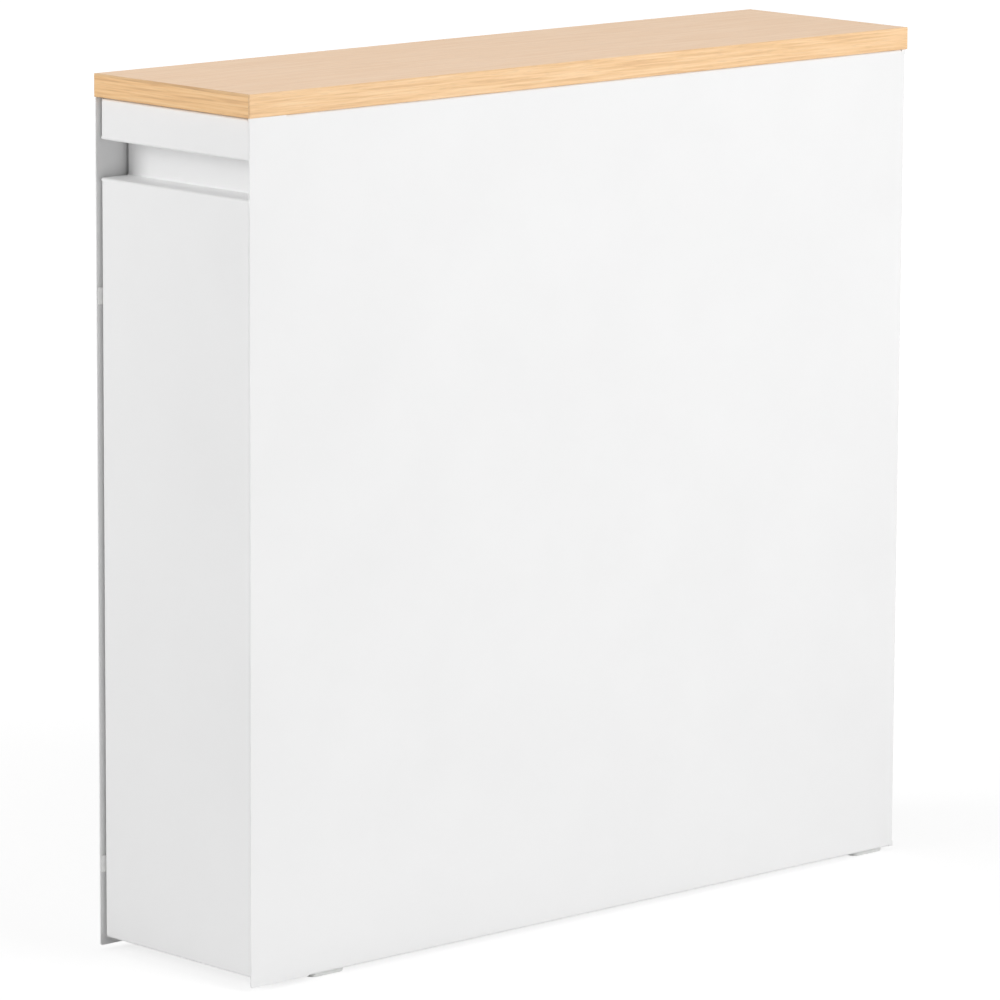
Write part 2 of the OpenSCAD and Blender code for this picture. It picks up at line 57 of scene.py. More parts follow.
# Where the photographer stood, and how the camera was turned from there
CAMERA_PLACE = Vector((2.70995, -2.53616, 0.91516))
CAMERA_AZIMUTH = math.radians(47.003)
CAMERA_ELEVATION = math.radians(10.385)
CAMERA_ROLL = math.radians(0.293)
CAMERA_LENS_MM = 236.4
CAMERA_SENSOR_MM = 36
# How far the camera sees
CAMERA_REACH = 100


def make_camera():
    """A long lens with no shift, at the photographer's place."""
    bpy.ops.object.select_all(action="DESELECT")
    bpy.ops.object.camera_add(location=CAMERA_PLACE)
    camera = bpy.context.object
    camera.name = "camera"
    camera.data.lens = CAMERA_LENS_MM
    camera.data.sensor_width = CAMERA_SENSOR_MM
    back = Vector((
        math.sin(CAMERA_AZIMUTH) * math.cos(CAMERA_ELEVATION),
        -math.cos(CAMERA_AZIMUTH) * math.cos(CAMERA_ELEVATION),
        math.sin(CAMERA_ELEVATION),
    ))
    camera.rotation_mode = "QUATERNION"
    camera.rotation_quaternion = back.to_track_quat("Z", "Y") @ Quaternion((0, 0, 1), CAMERA_ROLL)
    camera.data.clip_end = CAMERA_REACH
    bpy.context.scene.camera = camera


# ---------------------------------------------------------------- Material tools


def linear(hex_colour):
    """Turns an sRGB hex colour into the linear colour that a shader takes."""
    channels = [int(hex_colour[i:i + 2], 16) / 255 for i in (1, 3, 5)]
    return tuple(c / 12.92 if c <= 0.04045 else ((c + 0.055) / 1.055) ** 2.4 for c in channels) + (1,)


def feed(tree, node, sockets):
    """Gives inputs of a node, by name or number, a value each or another node's output."""
    for name, value in sockets.items():
        if isinstance(value, bpy.types.NodeSocket):
            tree.links.new(value, node.inputs[name])
        else:
            node.inputs[name].default_value = value


def add(tree, kind, sockets=None, **settings):
    """Adds one shader node with its settings and what feeds it."""
    node = tree.nodes.new(kind)
    for name, value in settings.items():
        setattr(node, name, value)
    feed(tree, node, sockets or {})
    return node


def new_material(name):
    """An empty material, its tree and its Principled shader."""
    material = bpy.data.materials.new(name)
    material.use_nodes = True
    tree = material.node_tree
    return material, tree, tree.nodes["Principled BSDF"]


def ramp(tree, factor, stops):
    """A colour ramp with a stop for each (place, hex colour)."""
    node = add(tree, "ShaderNodeValToRGB", {"Fac": factor})
    elements = node.color_ramp.elements
    while len(elements) < len(stops):
        elements.new(0.5)
    for element, (place, colour) in zip(elements, stops):
        element.position = place
        element.color = linear(colour)
    return node.outputs["Color"]


def per_metre(size_mm):
    """The texture scale whose features are about size_mm across."""
    return 1 / (size_mm * MM)


# ---------------------------------------------------------------- Materials


def powder_coated_steel():
    """Polyester powder coat, sprayed on dry and baked: matt white, a soft sheen, a fine orange peel."""
    material, tree, shader = new_material("powder_coated_steel")
    place = add(tree, "ShaderNodeTexCoord").outputs["Object"]
    # Orange peel on a thin coat has waves of about 1.5 mm
    peel = add(tree, "ShaderNodeTexNoise", {"Vector": place, "Scale": per_metre(1.5), "Detail": 2.0})
    bump = add(tree, "ShaderNodeBump", {
        "Height": peel.outputs["Fac"], "Strength": 0.1, "Distance": 0.04 * MM})
    # The gun lays the coat on a little thicker here and there
    coat = add(tree, "ShaderNodeTexNoise", {"Vector": place, "Scale": per_metre(70), "Detail": 3.0})
    rough = add(tree, "ShaderNodeMapRange", {
        "Value": coat.outputs["Fac"], "To Min": 0.42, "To Max": 0.5})
    colour = ramp(tree, coat.outputs["Fac"], [(0.3, "#F5F5F5"), (0.7, "#F7F7F7")])
    feed(tree, shader, {
        "Base Color": colour, "Normal": bump.outputs["Normal"], "Roughness": rough.outputs["Result"],
        "IOR": 1.5})
    return material


# Heights of the darker strip drawn along an upper edge, and of its fade below
DARK_EDGE_FULL = 0.9
DARK_EDGE_FADE = 0.9


def lacquered_oak(name, along, line_mm, stops, darker_from=None):
    """Pale oak under a thin matt lacquer, with grain lines line_mm wide along one axis.

    The end grain drinks the lacquer and is darker. From a given level up, the wood is drawn a little
    darker.
    """
    material, tree, shader = new_material(name)
    coord = add(tree, "ShaderNodeTexCoord")
    place = coord.outputs["Object"]
    stretch = [per_metre(line_mm)] * 3
    stretch[along] = per_metre(45)
    fibre = add(tree, "ShaderNodeMapping", {"Vector": place, "Scale": stretch})
    lines = add(tree, "ShaderNodeTexNoise", {
        "Vector": fibre.outputs["Vector"], "Scale": 1.0, "Detail": 1.5, "Roughness": 0.5,
        "Distortion": 0.3})
    # Open pores are cut along their length: dashes 0.4 mm wide and about 8 mm long
    stretch = [per_metre(0.4)] * 3
    stretch[along] = per_metre(8)
    cells = add(tree, "ShaderNodeMapping", {"Vector": place, "Scale": stretch})
    pores = add(tree, "ShaderNodeTexNoise", {
        "Vector": cells.outputs["Vector"], "Scale": 1.0, "Detail": 1.0})
    open_pore = add(tree, "ShaderNodeMapRange", {
        "Value": pores.outputs["Fac"], "From Min": 0.34, "From Max": 0.46,
        "To Min": 0.93, "To Max": 1.0})
    # Which way the surface faces tells side grain from end grain
    facing = add(tree, "ShaderNodeSeparateXYZ", {0: coord.outputs["Normal"]})
    endways = add(tree, "ShaderNodeMath", {0: facing.outputs[along]}, operation="ABSOLUTE")
    end_tone = add(tree, "ShaderNodeMapRange", {
        "Value": endways.outputs[0], "From Min": 0.5, "From Max": 0.95,
        "To Min": 1.0, "To Max": 0.88})
    tone = add(tree, "ShaderNodeMath", {
        0: open_pore.outputs["Result"], 1: end_tone.outputs["Result"]}, operation="MULTIPLY")
    # From the given level up, the colour is drawn darker, fading in just below it
    if darker_from is not None:
        level = add(tree, "ShaderNodeSeparateXYZ", {0: place})
        edge_darkening = add(tree, "ShaderNodeMapRange", {
            "Value": level.outputs["Z"],
            "From Min": (darker_from - DARK_EDGE_FADE) * MM, "From Max": darker_from * MM,
            "To Min": 1.0, "To Max": 0.84})
        tone = add(tree, "ShaderNodeMath", {
            0: tone.outputs[0], 1: edge_darkening.outputs["Result"]}, operation="MULTIPLY")
    colour = add(tree, "ShaderNodeVectorMath", {
        0: ramp(tree, lines.outputs["Fac"], stops), "Scale": tone.outputs[0]}, operation="SCALE")
    bump = add(tree, "ShaderNodeBump", {
        "Height": open_pore.outputs["Result"], "Strength": 0.25, "Distance": 0.05 * MM})
    rough = add(tree, "ShaderNodeMapRange", {
        "Value": lines.outputs["Fac"], "To Min": 0.44, "To Max": 0.34})
    feed(tree, shader, {
        "Base Color": colour.outputs["Vector"], "Normal": bump.outputs["Normal"],
        "Roughness": rough.outputs["Result"], "IOR": 1.5})
    return material


def moulded_nylon():
    """Natural nylon 6, moulded: milky white with a satin skin and faint flow marks."""
    material, tree, shader = new_material("moulded_nylon")
    place = add(tree, "ShaderNodeTexCoord").outputs["Object"]
    stretch = add(tree, "ShaderNodeMapping", {"Vector": place, "Scale": (1.0, 0.15, 1.0)})
    flow = add(tree, "ShaderNodeTexNoise", {
        "Vector": stretch.outputs["Vector"], "Scale": per_metre(5), "Detail": 2.0})
    # The real skin is finer, and is drawn as coarse as it needs to show
    skin = add(tree, "ShaderNodeTexNoise", {"Vector": place, "Scale": per_metre(0.6), "Detail": 1.0})
    bump = add(tree, "ShaderNodeBump", {
        "Height": skin.outputs["Fac"], "Strength": 0.12, "Distance": 0.03 * MM})
    rough = add(tree, "ShaderNodeMapRange", {
        "Value": flow.outputs["Fac"], "To Min": 0.36, "To Max": 0.5})
    colour = ramp(tree, flow.outputs["Fac"], [(0.35, "#F4F4F3"), (0.65, "#F9F9F8")])
    feed(tree, shader, {
        "Base Color": colour, "Normal": bump.outputs["Normal"], "Roughness": rough.outputs["Result"],
        "IOR": 1.53})
    return material


def moulded_rubber(name, dark, light):
    """Soft thermoplastic rubber from a spark-eroded mould: dull, a fine even grain, a little bloom."""
    material, tree, shader = new_material(name)
    place = add(tree, "ShaderNodeTexCoord").outputs["Object"]
    # A spark-eroded grain is finer, and is drawn as coarse as it needs to show
    grain = add(tree, "ShaderNodeTexNoise", {"Vector": place, "Scale": per_metre(0.5), "Detail": 2.0})
    bump = add(tree, "ShaderNodeBump", {
        "Height": grain.outputs["Fac"], "Strength": 0.3, "Distance": 0.04 * MM})
    bloom = add(tree, "ShaderNodeTexNoise", {"Vector": place, "Scale": per_metre(6), "Detail": 3.0})
    rough = add(tree, "ShaderNodeMapRange", {
        "Value": bloom.outputs["Fac"], "To Min": 0.65, "To Max": 0.82})
    colour = ramp(tree, bloom.outputs["Fac"], [(0.35, dark), (0.65, light)])
    feed(tree, shader, {
        "Base Color": colour, "Normal": bump.outputs["Normal"], "Roughness": rough.outputs["Result"],
        "IOR": 1.52})
    return material


def rolled_metal(name, dark, light, streak_mm, smooth, dull):
    """Cold-rolled strip or wire: fine rolling streaks along the depth, and patches that shine less."""
    material, tree, shader = new_material(name)
    place = add(tree, "ShaderNodeTexCoord").outputs["Object"]
    stretch = add(tree, "ShaderNodeMapping", {"Vector": place, "Scale": (1.0, 0.02, 1.0)})
    streaks = add(tree, "ShaderNodeTexNoise", {
        "Vector": stretch.outputs["Vector"], "Scale": per_metre(streak_mm), "Detail": 2.0})
    patches = add(tree, "ShaderNodeTexNoise", {"Vector": place, "Scale": per_metre(9), "Detail": 3.0})
    rough = add(tree, "ShaderNodeMapRange", {
        "Value": patches.outputs["Fac"], "To Min": smooth, "To Max": dull})
    bump = add(tree, "ShaderNodeBump", {
        "Height": streaks.outputs["Fac"], "Strength": 0.15, "Distance": 0.02 * MM})
    colour = ramp(tree, patches.outputs["Fac"], [(0.35, dark), (0.65, light)])
    feed(tree, shader, {
        "Base Color": colour, "Normal": bump.outputs["Normal"], "Roughness": rough.outputs["Result"],
        "Metallic": 1.0})
    return material


QUIET_OAK = [(0.32, "#EFC496"), (0.5, "#F3CA9F"), (0.68, "#F6CFA5")]
LIVELY_OAK = [(0.34, "#ECC08F"), (0.46, "#F6CC99"), (0.56, "#FAD1A1"), (0.7, "#FED9AC")]
# The bands across the front and back are the side bands' oak drawn darker and deeper in colour: painted
# shade for the weaker light on the front
PAINTED_SHADE_OAK = [(0.34, "#E1B07A"), (0.46, "#F1C187"), (0.56, "#F6C88F"), (0.7, "#FBD09A")]
# Level in millimetres from which the upper edge is drawn at its darkest
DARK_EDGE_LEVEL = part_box("wooden_top")[1].z / MM - DARK_EDGE_FULL

FINISHES = {
    "powder_coated_steel": powder_coated_steel(),
    "oak_veneer": lacquered_oak("oak_veneer", 1, 1.6, QUIET_OAK),
    "oak_band_along": lacquered_oak("oak_band_along", 1, 1.25, LIVELY_OAK),
    # The bands across have painted shade in their colours
    "oak_band_across_painted_shade": lacquered_oak("oak_band_across_painted_shade", 0, 1.4, PAINTED_SHADE_OAK, DARK_EDGE_LEVEL),
    "nylon": moulded_nylon(),
    "foot_rubber": moulded_rubber("foot_rubber", "#DFE0DE", "#E7E8E6"),
    "bumper_rubber": moulded_rubber("bumper_rubber", "#878988", "#939594"),
    # Bright zinc has a bluish cast, and its passivation a trace of yellow
    "zinc_plated_steel": rolled_metal("zinc_plated_steel", "#BDC2C8", "#CFD2D2", 0.5, 0.24, 0.38),
    "retainer_steel": rolled_metal("retainer_steel", "#94989D", "#A3A7AA", 0.4, 0.34, 0.46),
    "ball_steel": rolled_metal("ball_steel", "#D5D8DA", "#DEE0E2", 0.3, 0.08, 0.14),
}


# ---------------------------------------------------------------- Modelling tools

# Thickness of all the sheets, and the inner radius of their bends
SHEET_T = 1
BEND_R = 0.6
# Radius of the centre line in a bend, and its flat steps
MID_R = BEND_R + SHEET_T / 2
BEND_STEPS = 6
# Rounding that deburring and the powder coat leave on a cut edge
SHEET_EDGE = 0.22
# Two points closer than this are taken as one
NEAR = 0.01

RECORD = frame["record"]
NODE_BODY = {node: body for body, nodes in RECORD["behaviour"]["bodies"].items() for node in nodes}
NODE_SLOT = {part["node"]: part["material_slot"] for part in RECORD["subparts"]}


def box(node):
    """The lowest and highest corners of a node, in millimetres."""
    low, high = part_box(node)
    return low / MM, high / MM


def middle(node):
    """The middle of a node's box, in millimetres."""
    low, high = box(node)
    return (low + high) / 2


def close(a, b):
    return abs(a - b) < NEAR


def within(a, low, high):
    return low - NEAR < a < high + NEAR


def select(test, kind="edges"):
    """In edit mode, selects the verts, edges or faces whose every point passes the test."""
    bpy.ops.mesh.select_mode(type={"verts": "VERT", "edges": "EDGE", "faces": "FACE"}[kind])
    bpy.ops.mesh.select_all(action="DESELECT")
    mesh = bmesh.from_edit_mesh(bpy.context.object.data)
    for item in getattr(mesh, kind):
        if all(test(vert.co / MM) for vert in getattr(item, "verts", [item])):
            item.select_set(True)
    mesh.select_flush_mode()
    bmesh.update_edit_mesh(bpy.context.object.data)


def extrude(move):
    """In edit mode, extrudes the selection."""
    bpy.ops.mesh.extrude_region_move(TRANSFORM_OT_translate={"value": Vector(move) * MM})


def blank(name, low, high):
    """A flat rectangle between two corners that share one coordinate, left in edit mode."""
    low, high = Vector(low), Vector(high)
    size = high - low
    flat_axis = min(range(3), key=lambda axis: size[axis])
    turn = ((0, math.pi / 2, 0), (math.pi / 2, 0, 0), (0, 0, 0))[flat_axis]
    spread = ((size.z, size.y), (size.x, size.z), (size.x, size.y))[flat_axis]
    bpy.ops.object.select_all(action="DESELECT")
    bpy.ops.mesh.primitive_plane_add(size=MM, location=(low + high) / 2 * MM, rotation=turn)
    sheet = bpy.context.object
    sheet.name = name
    sheet.scale = (*spread, 1)
    bpy.ops.object.transform_apply()
    bpy.ops.object.mode_set(mode="EDIT")
    return sheet


def score(*lines):
    """Cuts the mesh in edit mode along planes, each an axis number and a place on it."""
    for axis, at in lines:
        bpy.ops.mesh.select_all(action="SELECT")
        normal = [0, 0, 0]
        normal[axis] = 1
        bpy.ops.mesh.bisect(plane_co=[at * MM * n for n in normal], plane_no=normal)


def cut_away(test):
    """In edit mode, deletes the faces whose every point passes the test."""
    select(test, "faces")
    bpy.ops.mesh.delete(type="FACE")


def fold_out(*points):
    """Carries the selected edges along a line of points, with a round bend at each inner point."""
    points = [Vector(point) for point in points]
    last = len(points) - 1
    for i in range(1, last + 1):
        step = points[i] - points[i - 1]
        way = step.normalized()
        length = step.length - (MID_R if i > 1 else 0) - (MID_R if i < last else 0)
        if length > NEAR:
            extrude(way * length)
        if i < last:
            onward = (points[i + 1] - points[i]).normalized()
            centre = points[i] + MID_R * (onward - way)
            bpy.ops.mesh.spin(
                steps=BEND_STEPS, angle=math.pi / 2, center=centre * MM, axis=onward.cross(way))


def bevel_edges(piece, test, width, steps):
    """Rounds the edges whose two ends pass the test, which is given both."""
    only(piece)
    bpy.ops.object.mode_set(mode="EDIT")
    bpy.ops.mesh.select_mode(type="EDGE")
    bpy.ops.mesh.select_all(action="DESELECT")
    mesh = bmesh.from_edit_mesh(piece.data)
    for edge in mesh.edges:
        edge.select_set(test(*(vert.co / MM for vert in edge.verts)))
    bmesh.update_edit_mesh(piece.data)
    bpy.ops.mesh.bevel(offset=width * MM, segments=steps, affect="EDGES")
    bpy.ops.object.mode_set(mode="OBJECT")


def apply_modifier(piece, kind, **settings):
    """Gives the active piece a modifier with its settings, and applies it."""
    modifier = piece.modifiers.new(kind.lower(), kind)
    for name, value in settings.items():
        setattr(modifier, name, value)
    bpy.ops.object.modifier_apply(modifier=modifier.name)


def only(piece):
    """Makes piece the one selected and active object, in object mode."""
    if bpy.context.object and bpy.context.object.mode == "EDIT":
        bpy.ops.object.mode_set(mode="OBJECT")
    bpy.ops.object.select_all(action="DESELECT")
    piece.select_set(True)
    bpy.context.view_layer.objects.active = piece


def face_outwards(piece):
    """Merges doubled points and turns the faces outwards."""
    only(piece)
    bpy.ops.object.mode_set(mode="EDIT")
    bpy.ops.mesh.select_all(action="SELECT")
    bpy.ops.mesh.remove_doubles(threshold=NEAR * MM)
    bpy.ops.mesh.normals_make_consistent(inside=False)
    bpy.ops.object.mode_set(mode="OBJECT")


def soften(piece, width, steps=2, sharp=50):
    """Rounds the sharp edges and keeps the flats flat in the shading."""
    only(piece)
    if width:
        apply_modifier(
            piece, "BEVEL", width=width * MM, segments=steps, limit_method="ANGLE",
            angle_limit=math.radians(sharp), use_clamp_overlap=False)
    bpy.ops.object.shade_smooth_by_angle(angle=math.radians(sharp))
    apply_modifier(piece, "WEIGHTED_NORMAL", keep_sharp=True)


def copy_of(piece, name, matrix):
    """A copy with its own mesh, moved by a matrix."""
    copy = piece.copy()
    copy.data = piece.data.copy()
    copy.name = name
    bpy.context.scene.collection.objects.link(copy)
    copy.data.transform(matrix)
    if matrix.determinant() < 0:
        face_outwards(copy)
    return copy


def shift(x=0, y=0, z=0):
    """The matrix of a move in millimetres."""
    return Matrix.Translation(Vector((x, y, z)) * MM)


MIRROR_X = Matrix.Scale(-1, 4, (1, 0, 0))


def paint(piece, finish):
    piece.data.materials.clear()
    piece.data.materials.append(FINISHES[finish])


def dress(piece, *nodes, finish=None):
    """Gives a piece the finish named by its nodes' slot, or the finish given, and the nodes' body, and
    hides them.
    """
    slot = NODE_SLOT[nodes[0]]
    paint(piece, finish or slot)
    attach(piece, NODE_BODY[nodes[0]])
    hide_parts(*nodes)


def finish_sheet(sheet):
    """Gives a folded blank its thickness, half to each side."""
    face_outwards(sheet)
    apply_modifier(sheet, "SOLIDIFY", thickness=SHEET_T * MM, offset=0, use_even_offset=True)
    return sheet


def dress_sheet(sheet, node):
    """Rounds a sheet's cut edges and dresses it as its node."""
    sheet.name = node + "_sheet"
    soften(sheet, SHEET_EDGE)
    dress(sheet, node)


# ---------------------------------------------------------------- Casing

PANEL_BOX = box("side_panel_right")
CASING_HALF = PANEL_BOX[1].x
FRONT_EDGE, CASING_BACK = PANEL_BOX[0].y, PANEL_BOX[1].y
PANEL_LOW, PANEL_HIGH = PANEL_BOX[0].z, PANEL_BOX[1].z
# Width of the bottom flange, and of those at the top and back
BOTTOM_FLANGE_W = 22
FLANGE_W = 16
# How far behind the front edge the bottom and top flanges start
BARE_BOTTOM = 42
BARE_TOP = 26
# Rounding of the front edge's lower corner
CORNER_R = 1.5
CORNER_STEPS = 6


def side_panels():
    """Flat side with flanges folded in at its bottom, top and back; the front edge stays bare."""
    x = CASING_HALF - SHEET_T / 2
    low, high, back = PANEL_LOW + SHEET_T / 2, PANEL_HIGH - SHEET_T / 2, CASING_BACK - SHEET_T / 2
    fold_low, fold_high, fold_back = low + MID_R, high - MID_R, back - MID_R
    # The rear corners are cut open by two outer bend radii
    relief = 2 * (BEND_R + SHEET_T)
    flange_end = CASING_BACK - relief
    back_flange = PANEL_LOW + relief, PANEL_HIGH - relief
    bottom_start, top_start = FRONT_EDGE + BARE_BOTTOM, FRONT_EDGE + BARE_TOP
    panel = blank("side_panel", (x, FRONT_EDGE, PANEL_LOW), (x, CASING_BACK, PANEL_HIGH))
    score(
        (1, bottom_start), (1, top_start), (1, flange_end), (1, fold_back), (2, fold_low), (2, fold_high),
        (2, back_flange[0]), (2, back_flange[1]))
    # What is left past the flanges' ends fills the rear corners
    cut_away(lambda p: p.z < fold_low + NEAR and within(p.y, bottom_start, flange_end))
    cut_away(lambda p: p.z > fold_high - NEAR and within(p.y, top_start, flange_end))
    cut_away(lambda p: p.y > fold_back - NEAR and within(p.z, *back_flange))
    select(lambda p: close(p.z, fold_low) and within(p.y, bottom_start, flange_end))
    fold_out((x, 0, fold_low), (x, 0, low), (CASING_HALF - BOTTOM_FLANGE_W, 0, low))
    select(lambda p: close(p.z, fold_high) and within(p.y, top_start, flange_end))
    fold_out((x, 0, fold_high), (x, 0, high), (CASING_HALF - FLANGE_W, 0, high))
    select(lambda p: close(p.y, fold_back) and within(p.z, *back_flange))
    fold_out((x, fold_back, 0), (x, back, 0), (CASING_HALF - FLANGE_W, back, 0))
    select(lambda p: close(p.y, FRONT_EDGE) and close(p.z, PANEL_LOW), "verts")
    bpy.ops.mesh.bevel(offset=CORNER_R * MM, segments=CORNER_STEPS, affect="VERTICES")
    finish_sheet(panel)
    left = copy_of(panel, "left", MIRROR_X)
    dress_sheet(panel, "side_panel_right")
    dress_sheet(left, "side_panel_left")


def flat_plate(node):
    """A plain cut sheet, as large as its node."""
    low, high = box(node)
    y = middle(node).y
    dress_sheet(finish_sheet(blank(node, (low.x, y, low.z), (high.x, y, high.z))), node)


def base_plate():
    """Flat plate with a lip folded up along each side."""
    low, high = box("base_plate")
    z = low.z + SHEET_T / 2
    lip_x = high.x - SHEET_T / 2
    fold_x = lip_x - MID_R
    plate = blank("base", (-fold_x, low.y, z), (fold_x, high.y, z))
    for side in (-1, 1):
        select(lambda p: close(p.x, side * fold_x))
        fold_out((side * fold_x, 0, z), (side * lip_x, 0, z), (side * lip_x, 0, high.z))
    dress_sheet(finish_sheet(plate), "base_plate")


def crossbars():
    """Flat bar with its front and rear lips folded down. One is modelled and one is copied."""
    low, high = box("crossbar_front")
    z = high.z - SHEET_T / 2
    lips = low.y + SHEET_T / 2, high.y - SHEET_T / 2
    folds = lips[0] + MID_R, lips[1] - MID_R
    bar = blank("crossbar", (low.x, folds[0], z), (high.x, folds[1], z))
    for fold, lip in zip(folds, lips):
        select(lambda p: close(p.y, fold))
        fold_out((0, fold, z), (0, lip, z), (0, lip, low.z))
    finish_sheet(bar)
    rear = copy_of(bar, "rear", shift(y=box("crossbar_rear")[0].y - low.y))
    dress_sheet(bar, "crossbar_front")
    dress_sheet(rear, "crossbar_rear")


# ---------------------------------------------------------------- Wooden top

# Rounding of the bands' outer edges, and of the veneered board's
BOARD_EDGE = 0.8
BOARD_EDGE_STEPS = 5
VENEER_EDGE = 0.12
# Thickness of the bands, and the open joint between them and the board
BAND_T = 1.0
BAND_JOINT = 0.03


def slab(name, low, high):
    """A block between two corners."""
    sheet = blank(name, low, (high[0], high[1], low[2]))
    select(lambda p: True, "faces")
    extrude((0, 0, high[2] - low[2]))
    face_outwards(sheet)
    return sheet


def wooden_top():
    """Veneered board with bands of solid oak glued round it. The side bands run past the other two."""
    low, high = box("wooden_top")
    inner_low, inner_high = low + Vector((BAND_T, BAND_T, 0)), high - Vector((BAND_T, BAND_T, 0))
    board = slab("oak_board", inner_low, inner_high)
    soften(board, VENEER_EDGE)
    dress(board, "wooden_top")
    side = slab("oak_band_right", (inner_high.x + BAND_JOINT, low.y, low.z), high)
    bevel_edges(
        side, lambda a, b: close(a.x, high.x) and close(b.x, high.x), BOARD_EDGE, BOARD_EDGE_STEPS)
    left = copy_of(side, "oak_band_left", MIRROR_X)
    for band in (side, left):
        soften(band, 0, sharp=40)
        dress(band, "wooden_top", finish="oak_band_along")
    front = slab(
        "oak_band_front", (inner_low.x, low.y, low.z), (inner_high.x, inner_low.y - BAND_JOINT, high.z))
    bevel_edges(
        front, lambda a, b: close(a.y, low.y) and close(b.y, low.y) and close(a.z, b.z), BOARD_EDGE,
        BOARD_EDGE_STEPS)
    back = copy_of(front, "oak_band_back", Matrix.Scale(-1, 4, (0, 1, 0)))
    # The front and back bands take the oak with painted shade, darker than the side bands'
    for band in (front, back):
        soften(band, 0, sharp=40)
        dress(band, "wooden_top", finish="oak_band_across_painted_shade")


# ---------------------------------------------------------------- Pull-out

FRONT_BOX = box("front_panel")
FRONT_HALF = FRONT_BOX[1].x
FRONT_FACE, FRONT_BACK = FRONT_BOX[0].y, FRONT_BOX[1].y
FRONT_LOW, FRONT_HIGH = FRONT_BOX[0].z, FRONT_BOX[1].z
# Heights of the rail and of the grip recess under it
RAIL_H = 23
GRIP_H = 21
RAIL_LOW = FRONT_HIGH - RAIL_H
LEDGE_Z = RAIL_LOW - GRIP_H
# Width of the sides' flanges behind the face
RETURN_W = 11
# Bare stretch between a side's fold and the bend next to it
NOTCH = 0.2
# How far the ends of the grip's wall stay short of the face's ends
WALL_SHORT = 0.6


def front_panel():
    """One sheet: lower front, ledge and wall of the grip, rail with its underside, and their flanges."""
    half = SHEET_T / 2
    face_y, wall_y = FRONT_FACE + half, FRONT_BACK - half
    fold_x = FRONT_HALF - half - MID_R
    fold_low, fold_ledge = FRONT_LOW + half + MID_R, LEDGE_Z - half - MID_R
    fold_rail, fold_high = RAIL_LOW + half + MID_R, FRONT_HIGH - half - MID_R
    # Levels between which the sides of the lower front and of the rail are folded back
    face_span, rail_span = (fold_low, fold_ledge - NOTCH), (fold_rail + NOTCH, fold_high)
    panel = blank("front", (-FRONT_HALF, face_y, fold_low), (FRONT_HALF, face_y, fold_ledge))
    score((0, -fold_x), (0, fold_x))
    select(lambda p: close(p.z, fold_ledge))
    fold_out(
        (0, face_y, fold_ledge), (0, face_y, LEDGE_Z - half), (0, wall_y, LEDGE_Z - half),
        (0, wall_y, RAIL_LOW + half), (0, face_y, RAIL_LOW + half), (0, face_y, fold_high))
    score((2, face_span[1]), (2, rail_span[0]))
    for side in (-1, 1):
        cut_away(lambda p: side * p.x > fold_x - NEAR and p.z < face_span[1] + NEAR)
        cut_away(lambda p: side * p.x > fold_x - NEAR and p.z > rail_span[0] - NEAR)
    for fold, level in ((fold_low, FRONT_LOW + half), (fold_high, FRONT_HIGH - half)):
        select(lambda p: close(p.z, fold))
        fold_out((0, face_y, fold), (0, face_y, level), (0, FRONT_BACK, level))
    flange_back = wall_y - MID_R
    for side in (-1, 1):
        flange_x = side * (FRONT_HALF - half)
        for low, high in (face_span, rail_span):
            select(lambda p: close(p.x, side * fold_x) and close(p.y, face_y) and within(p.z, low, high))
            fold_out(
                (side * fold_x, face_y, 0), (flange_x, face_y, 0), (flange_x, wall_y, 0),
                (side * (FRONT_HALF - RETURN_W), wall_y, 0))
        # The side's bend runs on past the face's own bends, behind a narrow slit, so the front's outer
        # corners are square
        for fold, end in ((fold_low, FRONT_LOW), (fold_high, FRONT_HIGH)):
            select(lambda p: side * p.x > fold_x + NEAR and p.y < flange_back + NEAR and close(p.z, fold))
            fold_out((0, 0, fold), (0, 0, end))
        select(lambda p: (
            side * p.x > FRONT_HALF - NEAR and close(p.y, wall_y) and LEDGE_Z < p.z < RAIL_LOW))
        bpy.ops.transform.translate(value=(-side * WALL_SHORT * MM, 0, 0))
    dress_sheet(finish_sheet(panel), "front_panel")


def tray(node):
    """Shallow tray: a floor with four lips folded up, open by a bend's width at its corners."""
    low, high = box(node)
    half = SHEET_T / 2
    z = low.z + half
    lip_x, lip_y = high.x - half, (low.y + half, high.y - half)
    fold_x, fold_y = lip_x - MID_R, (lip_y[0] + MID_R, lip_y[1] - MID_R)
    floor = blank(node, (-fold_x, fold_y[0], z), (fold_x, fold_y[1], z))
    for side in (-1, 1):
        select(lambda p: close(p.x, side * fold_x))
        fold_out((side * fold_x, 0, z), (side * lip_x, 0, z), (side * lip_x, 0, high.z))
    for fold, lip in zip(fold_y, lip_y):
        select(lambda p: close(p.y, fold) and close(p.z, z))
        fold_out((0, fold, z), (0, lip, z), (0, lip, high.z))
    dress_sheet(finish_sheet(floor), node)


def rear_plate():
    """Flat plate with a lip folded forwards at its top."""
    low, high = box("rear_plate")
    y, z = high.y - SHEET_T / 2, high.z - SHEET_T / 2
    fold_z = z - MID_R
    plate = blank("rear", (low.x, y, low.z), (high.x, y, fold_z))
    select(lambda p: close(p.z, fold_z))
    fold_out((0, y, fold_z), (0, y, z), (0, low.y, z))
    dress_sheet(finish_sheet(plate), "rear_plate")


